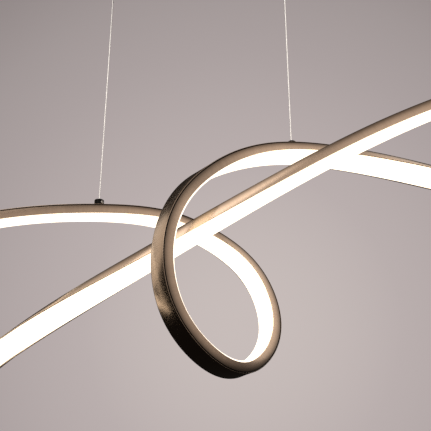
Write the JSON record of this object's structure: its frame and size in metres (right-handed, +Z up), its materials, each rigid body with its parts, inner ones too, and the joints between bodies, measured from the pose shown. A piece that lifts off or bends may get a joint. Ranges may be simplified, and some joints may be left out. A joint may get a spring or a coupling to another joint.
{
  "type": "suspended LED ribbon light",
  "caption": "Pendant light: a bent channel with an opal diffuser loops into a curl and hangs on two steel wires from a round ceiling canopy.",
  "frame": {"origin": "centre of the ceiling plate's top face, which lies against the ceiling", "axes": "+Z up into the ceiling; +X along the ribbon's length, towards the lobe that rises"},
  "size_m": [1.0378, 0.266, 0.7106],
  "materials": {
    "ribbon_bronze": "fine cross-brushed bronze anodising",
    "canopy_bronze": "circular-brushed bronze anodising",
    "opal_diffuser": "satin opal, glowing warm white",
    "led_circuit": "white solder mask with LED packages",
    "driver_circuit": "green solder mask with dark components",
    "zinc_steel": "zinc-plated sheet",
    "bright_steel": "nickel-plated, turned",
    "wire_steel": "stranded stainless wire",
    "black_plastic": "satin moulded nylon",
    "black_insulation": "soft lead insulation",
    "brass": "plain slotted",
    "white_plastic": "fine-grained moulding",
    "white_insulation": "soft lead insulation"
  },
  "bodies": {
    "canopy": {"ceiling_plate": "zinc_steel", "mains_grommet": "black_insulation", "adjuster_left_insulator": "black_plastic", "adjuster_left_body": "bright_steel", "adjuster_left_spring": "wire_steel", "adjuster_right_insulator": "black_plastic", "adjuster_right_body": "bright_steel", "adjuster_right_spring": "wire_steel", "cover_screw_90": "bright_steel", "cover_screw_210": "bright_steel", "cover_screw_330": "bright_steel", "driver_case": "white_plastic", "driver_lid": "white_plastic", "driver_board": "driver_circuit", "driver_screw_1": "bright_steel", "driver_screw_2": "bright_steel", "terminal_block": "white_plastic", "terminal_screw_1": "brass", "terminal_screw_2": "brass", "terminal_screw_3": "brass", "mains_lead_live": "white_insulation", "mains_lead_neutral": "white_insulation", "low_voltage_lead_left": "black_insulation", "low_voltage_lead_right": "black_insulation"},
    "cover": {"canopy_cover": "canopy_bronze"},
    "plunger_left": {"adjuster_left_plunger": "bright_steel"},
    "plunger_right": {"adjuster_right_plunger": "bright_steel"},
    "light": {"channel_curl": "ribbon_bronze", "channel_right_lobe": "ribbon_bronze", "channel_strand": "ribbon_bronze", "channel_left_lobe": "ribbon_bronze", "diffuser_curl": "opal_diffuser", "diffuser_right_lobe": "opal_diffuser", "diffuser_strand": "opal_diffuser", "diffuser_left_lobe": "opal_diffuser", "led_strip_curl": "led_circuit", "led_strip_right_lobe": "led_circuit", "led_strip_strand": "led_circuit", "led_strip_left_lobe": "led_circuit", "joiner_left_top_1": "zinc_steel", "joiner_left_top_2": "zinc_steel", "joiner_right_bottom_1": "zinc_steel", "joiner_right_bottom_2": "zinc_steel", "joiner_right_top_1": "zinc_steel", "joiner_right_top_2": "zinc_steel", "joiner_left_bottom_1": "zinc_steel", "joiner_left_bottom_2": "zinc_steel", "anchor_left_base": "black_plastic", "anchor_left_barrel": "black_plastic", "anchor_left_set_screw": "bright_steel", "anchor_right_base": "black_plastic", "anchor_right_barrel": "black_plastic", "anchor_right_set_screw": "bright_steel", "wire_left": "wire_steel", "wire_right": "wire_steel"}
  },
  "joints": [
    {"name": "light_swing", "type": "hinge", "parent": "canopy", "child": "light", "pos_m": [-0.09625, 0.0428, -0.044], "axis": [0.9271, -0.3748, 0], "range_deg": [-8, 8]},
    {"name": "cover_drop", "type": "slide", "parent": "canopy", "child": "cover", "axis": [0, 0, -1], "range_m": [0, 0.055]},
    {"name": "adjuster_left_press", "type": "slide", "parent": "canopy", "child": "plunger_left", "axis": [0, 0, 1], "range_m": [0, 0.0025], "stiffness_N_per_m": 1500, "springref_m": -0.001, "deforming": ["adjuster_left_spring"]},
    {"name": "adjuster_right_press", "type": "slide", "parent": "canopy", "child": "plunger_right", "axis": [0, 0, 1], "range_m": [0, 0.0025], "stiffness_N_per_m": 1500, "springref_m": -0.001, "deforming": ["adjuster_right_spring"]}
  ]
}
